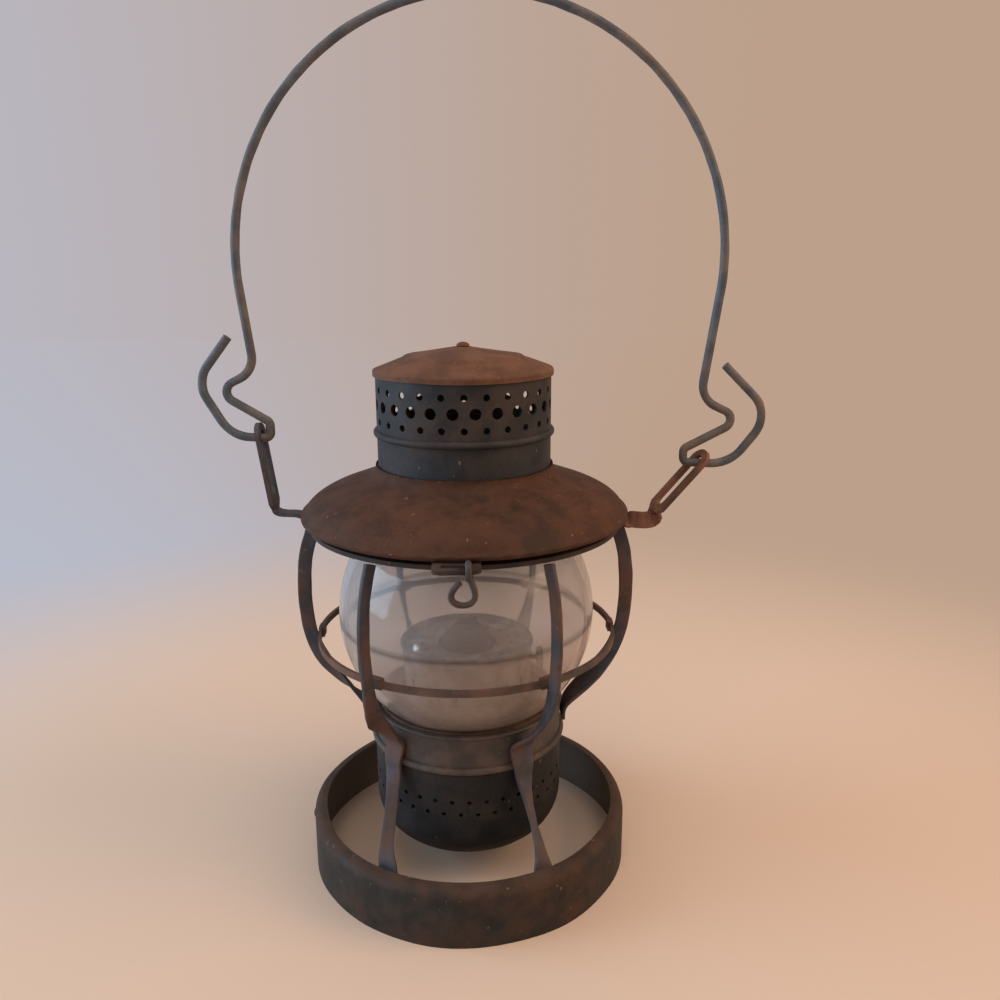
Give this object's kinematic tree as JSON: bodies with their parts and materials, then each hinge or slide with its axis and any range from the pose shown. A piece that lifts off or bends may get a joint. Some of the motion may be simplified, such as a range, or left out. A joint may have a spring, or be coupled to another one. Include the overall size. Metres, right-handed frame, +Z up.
{
  "type": "railroad hand lantern",
  "caption": "wire-guarded hand lantern with a clear glass globe, a hinged lid with brim and pierced chimney, a twist-off pot with oil fount and burner, a base ring and a wire bail",
  "frame": {"origin": "centre of the base ring's underside, where the lantern stands", "axes": "+Z up along the lantern's axis; front, with the latch, towards -Y; ears and bail ends on +X and -X; lid hinge on +Y"},
  "size_m": [0.2392, 0.1546, 0.3693],
  "materials": {
    "dark_iron": "worn",
    "rusty_iron": "rusted",
    "lid_iron": "rusted",
    "strap_iron": "worn",
    "wire_iron": "dark",
    "globe_glass": "dusty clear",
    "tinned_sheet": "dull",
    "burner_brass": "tarnished",
    "wick_cotton": "woven"
  },
  "bodies": {
    "frame": {"base_ring": "dark_iron", "base_seam_rivet": "dark_iron", "collar_band": "dark_iron", "bayonet_pins": "dark_iron", "globe_seat": "rusty_iron", "globe": "globe_glass", "guard_strap_front_left": "strap_iron", "guard_strap_front_right": "strap_iron", "guard_strap_rear_left": "strap_iron", "guard_strap_rear_right": "strap_iron", "guard_strap_left": "strap_iron", "guard_strap_right": "strap_iron", "guard_ring": "strap_iron", "guard_clips": "strap_iron", "top_ring": "dark_iron", "ear_left": "dark_iron", "ear_right": "rusty_iron", "ear_rivets": "dark_iron", "hinge_leaf_frame": "dark_iron", "hinge_rivets": "dark_iron", "hinge_pin": "wire_iron", "latch_plate": "rusty_iron", "latch_rivets": "dark_iron"},
    "lid": {"brim": "lid_iron", "chimney": "dark_iron", "draft_bell": "rusty_iron", "cap": "lid_iron", "cap_rivet": "lid_iron", "hinge_leaf_lid": "dark_iron", "lid_rivets": "dark_iron"},
    "latch": {"latch_hook": "wire_iron"},
    "bail": {"bail": "wire_iron"},
    "pot": {"pot": "dark_iron", "fount": "tinned_sheet", "filler_cap": "burner_brass", "burner_base": "burner_brass", "burner_gallery": "burner_brass", "burner_deck": "burner_brass", "burner_cone": "burner_brass", "wick_tube": "burner_brass"},
    "wick_turner": {"wick_shaft": "burner_brass", "wick_wheels": "burner_brass", "wick_knob": "burner_brass"},
    "wick": {"wick": "wick_cotton"}
  },
  "joints": [
    {"name": "lid_hinge", "type": "hinge", "parent": "frame", "child": "lid", "pos_m": [0, 0.0731, 0.1618], "axis": [-1, 0, 0], "range_deg": [0, 105]},
    {"name": "latch_swing", "type": "hinge", "parent": "frame", "child": "latch", "pos_m": [0.0008, -0.0748, 0.16152], "axis": [-1, 0, 0], "range_deg": [0, 70]},
    {"name": "bail_swing", "type": "hinge", "parent": "frame", "child": "bail", "pos_m": [-0.0855, 0, 0.1965], "axis": [0.9975, 0, -0.0703], "range_deg": [-90, 90]},
    {"name": "pot_turn", "type": "hinge", "parent": "frame", "child": "pot", "pos_m": [0, 0, 0], "axis": [0, 0, 1], "range_deg": [0, 25]},
    {"name": "wick_knob_turn", "type": "hinge", "parent": "pot", "child": "wick_turner", "pos_m": [0, -0.0042, 0.0955], "axis": [1, 0, 0], "range_deg": [0, 135]},
    {"name": "wick_raise", "type": "slide", "parent": "pot", "child": "wick", "axis": [0, 0, 1], "range_m": [0, 0.0075]}
  ],
  "couplings": [
    {"joint": "wick_knob_turn", "follows": "wick_raise", "rad_per_m": 312.5}
  ]
}
